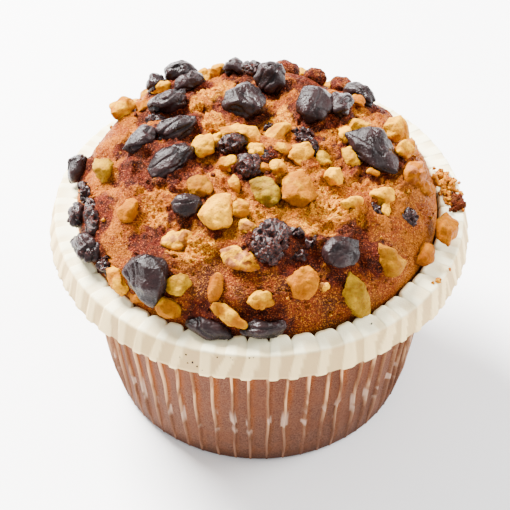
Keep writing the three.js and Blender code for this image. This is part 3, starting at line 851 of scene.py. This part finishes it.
def chopped_lump(body, seed, size, matrix, cuts, fineness=4):
    """Adds a ball with flat faces chopped off it, stretched to its size and moved into place."""
    made = bmesh.ops.create_icosphere(body, subdivisions=fineness, radius=1.0)["verts"]
    draw = random.Random(seed)
    planes = []
    for _ in range(cuts):
        facing = Vector([draw.gauss(0, 1) for _ in range(3)]).normalized()
        planes.append((facing, draw.uniform(0.55, 0.9)))
    for corner in made:
        for facing, reach in planes:
            past = corner.co.dot(facing) - reach
            if past > 0:
                corner.co -= facing * past * 0.9
        corner.co = matrix @ Vector([part * half for part, half in zip(corner.co, size)])
    return made


def laid_on_crust(azimuth, slope, height, turn):
    """The matrix that lays a thing on the crust, partly sunk, with its long side turned."""
    point, normal = on_crust(azimuth, slope)
    around = Vector((-math.sin(math.radians(azimuth)), math.cos(math.radians(azimuth)), 0))
    uphill = normal.cross(around)
    angle = math.radians(turn - azimuth - 90)
    long = around * math.cos(angle) + uphill * math.sin(angle)
    side = normal.cross(long)
    centre = (point + normal * height * (0.5 - SUNK)) * MM
    return Matrix.Translation(centre) @ Matrix((long, side, normal)).transposed().to_4x4()


small_nuts, small_berries, lumps = bmesh.new(), bmesh.new(), bmesh.new()
nut_tone = small_nuts.verts.layers.float_color.new("nut_tone")
berry_tone = small_berries.verts.layers.float_color.new("berry_tone")
lump_tone = lumps.verts.layers.float_color.new("crust_tone")
for seed, (azimuth, slope, length, width, height, turn, kind) in enumerate(SMALL_BITS):
    size = [part * HALF_SIZE * MM for part in (length, width, height)]
    matrix = laid_on_crust(azimuth, slope, height, turn)
    outward = matrix.to_3x3() @ Vector((0, 0, 1))
    if kind == "berry":
        for corner in chopped_lump(small_berries, seed, size, matrix, 4):
            point = corner.co / MM
            shake = Vector([noise.noise(point / 0.7 + Vector((9, 9, 9)) * axis) for axis in range(3)])
            pit = smooth_step(0.1, 0.4, noise.noise(point / 0.6))
            corner.co += (shake * 0.8 - outward * (0.25 * height + 0.5 * pit)) * MM
            corner[berry_tone] = (0.6 + 0.5 * noise.noise(point / 0.8), 0.4 + noise.noise(point / 0.7), 0, 1)
    elif kind in ("crumb", "glazed"):
        glazed = kind == "glazed"
        for corner in chopped_lump(lumps, seed, size, matrix, 4):
            point = corner.co / MM
            push = 1.1 * noise.noise(point / 1.2) + 0.9 * abs(noise.noise(point / 0.6)) - 0.55
            corner.co += outward * push * (GLAZED_PUSH if glazed else 1.0) * MM
            patchy = noise.noise(point / 1.0)
            if glazed:
                corner[lump_tone] = (0.6 + 0.4 * patchy, 0.8, 0, 0)
            else:
                corner[lump_tone] = (0.2, 0.4, 0.7 + 0.5 * patchy, 0)
    else:
        made = chopped_lump(small_nuts, seed, size, matrix, 7)
        small_nuts.normal_update()
        broken_nut(made, seed + 50, *KINDS[kind], nut_tone)
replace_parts(finished("small_nut_pieces", small_nuts, NUT_FLESH), "cake")
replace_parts(finished("small_berry_pieces", small_berries, BERRY_SKIN), "cake")
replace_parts(finished("crumb_lumps", lumps, CRUST), "cake")


# The loose crumbs
# Grains of crust and nut meal that stick all over the torn top, and the few that have dropped on
# the collar: a small heap with two drops of jam by the nut at the right, and dark specks in front.

CRUMB_COUNT = 900
SMALLEST_CRUMB = 0.2
LARGEST_CRUMB = 0.95

# The heap's larger grains are stacked three high, each higher and smaller than the last by this much
HEAP_STEP = 0.25

# Azimuth, distance from the middle, size and whether it is jam, of the heap on the collar
HEAP = [
    (12.5, 36.6, 1.3, 0), (10.8, 37.6, 1.4, 0), (9.5, 36.4, 1.2, 0), (8.4, 38.3, 1.3, 0),
    (13.4, 38.0, 0.9, 0), (7.3, 36.9, 1.1, 0), (10.2, 39.0, 0.8, 0), (6.2, 38.6, 0.8, 0),
    (5.2, 36.6, 1.0, 0), (4.0, 37.3, 1.1, 0), (14.6, 37.0, 0.8, 0), (3.2, 39.3, 1.0, 0),
    (1.6, 36.7, 0.9, 0), (-1.8, 39.9, 0.7, 0), (0.2, 40.2, 0.7, 0), (2.4, 37.6, 1.2, 1),
    (0.8, 38.4, 1.5, 1), (-0.6, 39.2, 1.3, 1), (-2.0, 38.2, 0.8, 1), (4.6, 38.4, 0.7, 1),
    (-31.5, 39.6, 0.7, 0), (-33.0, 39.0, 0.5, 0), (-26.0, 40.2, 0.5, 0),
]

# Azimuth, height and size of the dark specks on the collar's front and flange
SPECKS = [
    (-101, 41.0, 0.32), (-97.5, 41.3, 0.42), (-96.9, 40.9, 0.3), (-91.5, 41.6, 0.3),
    (-92.6, 41.5, 0.36), (-107.5, 38.9, 0.5), (-106.2, 38.2, 0.42), (-108.8, 38.5, 0.35),
    (-104.8, 37.8, 0.4), (-109.4, 40.2, 0.34), (-103.4, 37.5, 0.3), (-111.0, 39.4, 0.3),
    (-57.0, 42.05, 0.42), (-99.2, 38.3, 0.26),
]


def small_grain(body, draw, centre, size, rough=0.3):
    """One uneven grain, as a list of its corners."""
    made = bmesh.ops.create_icosphere(body, subdivisions=1 if size < 0.6 else 2, radius=0.5)["verts"]
    flat = Vector([draw.uniform(0.65, 1.15) for _ in range(3)])
    for corner in made:
        corner.co *= 1 + draw.uniform(-rough, rough)
        corner.co = centre + corner.co * flat * size * MM
    return made


def collar_place(azimuth, distance, lift):
    """A place on the flange, in metres."""
    turn = math.radians(azimuth)
    height = COLLAR_HEIGHT + collar_wave(turn) + lift
    return Vector((distance * math.cos(turn), distance * math.sin(turn), height)) * MM


def loose_crumbs():
    grains = bmesh.new()
    tone = grains.verts.layers.float_color.new("crust_tone")
    draw = random.Random(31)
    surface = crust.data
    shades = surface.attributes["crust_tone"].data
    finder = kdtree.KDTree(len(surface.vertices))
    for corner in surface.vertices:
        finder.insert(corner.co, corner.index)
    finder.balance()
    for _ in range(CRUMB_COUNT):
        point, _ = on_crust(draw.uniform(0, 360), 84 * draw.random() ** 0.62)
        _, index, _ = finder.find(point * MM)
        stain_and_contact_shade, _, _, smooth_side = shades[index].color
        size = between(SMALLEST_CRUMB, LARGEST_CRUMB, draw.random() ** 2.6)
        if draw.random() < max(0.75 * smooth_side, stain_and_contact_shade):
            continue
        corner = surface.vertices[index]
        centre = corner.co + corner.normal * 0.2 * size * MM
        shade = (draw.choice((0, 0, 0, 0.8)), draw.random(), draw.uniform(0.1, 1.0), 0)
        for grain_corner in small_grain(grains, draw, centre, size):
            grain_corner[tone] = shade
    for azimuth, distance, size, jam in HEAP:
        for step in range(3 if size > 0.75 else 1):
            turned = azimuth + draw.uniform(-1.2, 1.2) * step
            shifted = distance + 0.5 * draw.uniform(-1, 1) * step
            spot = collar_place(turned, shifted, 0.3 * size + HEAP_STEP * step)
            for grain_corner in small_grain(grains, draw, spot, size * (1.5 - HEAP_STEP * step), 0.4):
                grain_corner[tone] = (jam, 0.3, 1.0 - 0.2 * step, 0)
    return grains


def specks():
    grains = bmesh.new()
    tone = grains.verts.layers.float_color.new("berry_tone")
    draw = random.Random(5)
    for azimuth, height, size in SPECKS:
        turn = math.radians(azimuth)
        share = (COLLAR_HEIGHT - 0.7 - height) / (SKIRT_DROP - 0.7)
        radius = between(FLANGE_OUTER_RADIUS + 0.4, COLLAR_RADIUS, max(share, 0)) + 0.1
        if height > COLLAR_HEIGHT:
            radius = between(LIP_RADIUS, FLANGE_OUTER_RADIUS, 0.6)
        height += collar_wave(turn)
        spot = Vector((radius * math.cos(turn), radius * math.sin(turn), height)) * MM
        for grain_corner in small_grain(grains, draw, spot, size):
            grain_corner[tone] = (0.5, 0.3, 0, 1)
    return grains


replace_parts(finished("loose_crumbs", loose_crumbs(), CRUST), "cake")
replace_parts(finished("berry_specks", specks(), BERRY_SKIN), "cake")


# The table, the light and the camera
# A plain white table in soft daylight from behind on the left, with a weak fill from the right,
# seen from above at the photo's angle.

TABLE_SIZE = 3.0


def table_material():
    material, tree, shader = new_material("white_table")
    cloud, _ = grain(tree, 6.0, 900.0)
    colour = mixed(tree, maths(tree, "MULTIPLY", cloud, 0.15), rgb(250, 249, 250), rgb(247, 246, 248))
    tree.links.new(colour, shader.inputs["Base Color"])
    shader.inputs["Roughness"].default_value = 0.6
    return material


table = bmesh.new()
bmesh.ops.create_grid(table, x_segments=8, y_segments=8, size=TABLE_SIZE)
table_mesh = bpy.data.meshes.new("white_table")
table.to_mesh(table_mesh)
table.free()
table_mesh.materials.append(table_material())
floor = bpy.data.objects.new("white_table", table_mesh)
bpy.context.scene.collection.objects.link(floor)

world = bpy.data.worlds.new("soft_room")
world.use_nodes = True
world.node_tree.nodes["Background"].inputs["Color"].default_value = (0.97, 0.98, 1.0, 1)
world.node_tree.nodes["Background"].inputs["Strength"].default_value = 1.3
bpy.context.scene.world = world


def soft_light(name, place, target, size, power, colour=(1, 1, 1)):
    data = bpy.data.lights.new(name, "AREA")
    data.shape = "DISK"
    data.size = size
    data.energy = power
    data.color = colour
    lamp = bpy.data.objects.new(name, data)
    lamp.location = place
    lamp.rotation_euler = (Vector(target) - Vector(place)).to_track_quat("-Z", "Y").to_euler()
    bpy.context.scene.collection.objects.link(lamp)


MIDDLE = (0, 0, 0.03)
soft_light("window", (-0.38, 0.41, 0.61), MIDDLE, 0.4, 67.0, (1.0, 0.985, 0.96))
soft_light("right_fill", (0.68, 0.12, 0.4), MIDDLE, 0.5, 12.5)
soft_light("front_fill", (0.0, -0.7, 0.5), MIDDLE, 0.5, 1.0)

CAMERA_ELEVATION = math.radians(44)
CAMERA_DISTANCE = 0.400
FOCAL_PIXELS = 2000
PICTURE_PIXELS = 510
AIM_PIXEL = (259.3, 250.0)
view = bpy.data.cameras.new("photo_view")
view.sensor_width = 36
view.lens = FOCAL_PIXELS / PICTURE_PIXELS * view.sensor_width
view.shift_x = (PICTURE_PIXELS / 2 - AIM_PIXEL[0]) / PICTURE_PIXELS
view.shift_y = (AIM_PIXEL[1] - PICTURE_PIXELS / 2) / PICTURE_PIXELS
camera = bpy.data.objects.new("photo_view", view)
back = Vector((0, -math.cos(CAMERA_ELEVATION), math.sin(CAMERA_ELEVATION)))
camera.location = Vector(MIDDLE) + back * CAMERA_DISTANCE
camera.rotation_euler = (-back).to_track_quat("-Z", "Y").to_euler()
bpy.context.scene.collection.objects.link(camera)
bpy.context.scene.camera = camera
